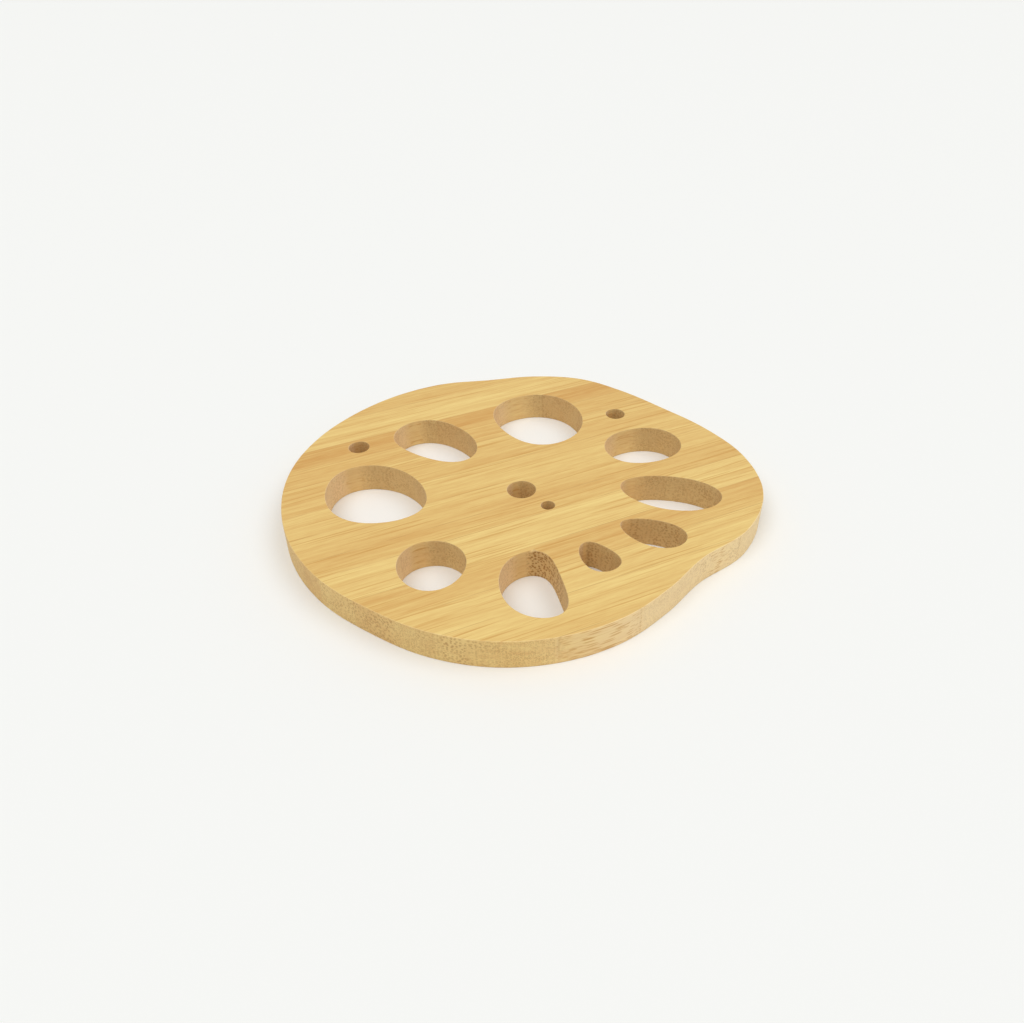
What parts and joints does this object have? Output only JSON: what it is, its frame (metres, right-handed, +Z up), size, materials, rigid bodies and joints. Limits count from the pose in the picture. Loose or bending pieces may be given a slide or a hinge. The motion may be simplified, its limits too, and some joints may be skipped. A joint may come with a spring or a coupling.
{
  "type": "flower frog",
  "caption": "Thin rounded slice of edge-glued bamboo strips with large shaped holes and small round holes that hold flower stems upright over a vessel.",
  "frame": {"origin": "centre of the bounding box on the underside", "axes": "+X along the bamboo fibres, +Y across the fibres toward the side with the two largest holes, +Z up out of the top face"},
  "size_m": [0.0897, 0.0832, 0.006],
  "materials": {
    "bamboo_light": "smooth sanded, satin",
    "bamboo_dark": "smooth sanded, satin"
  },
  "bodies": {
    "root": {"strip_01": "bamboo_dark", "strip_02": "bamboo_light", "strip_03_left": "bamboo_light", "strip_03_right": "bamboo_light", "strip_04": "bamboo_dark", "strip_05_left": "bamboo_light", "strip_05_middle": "bamboo_light", "strip_05_right": "bamboo_light", "strip_06": "bamboo_dark", "strip_07": "bamboo_light", "strip_08_left": "bamboo_light", "strip_08_right": "bamboo_light", "strip_09_left": "bamboo_dark", "strip_09_right": "bamboo_dark", "strip_10_left": "bamboo_light", "strip_10_middle": "bamboo_light", "strip_10_right": "bamboo_light", "strip_11_left": "bamboo_dark", "strip_11_middle": "bamboo_dark", "strip_11_right": "bamboo_dark", "strip_12": "bamboo_light", "strip_13": "bamboo_dark"}
  },
  "joints": []
}
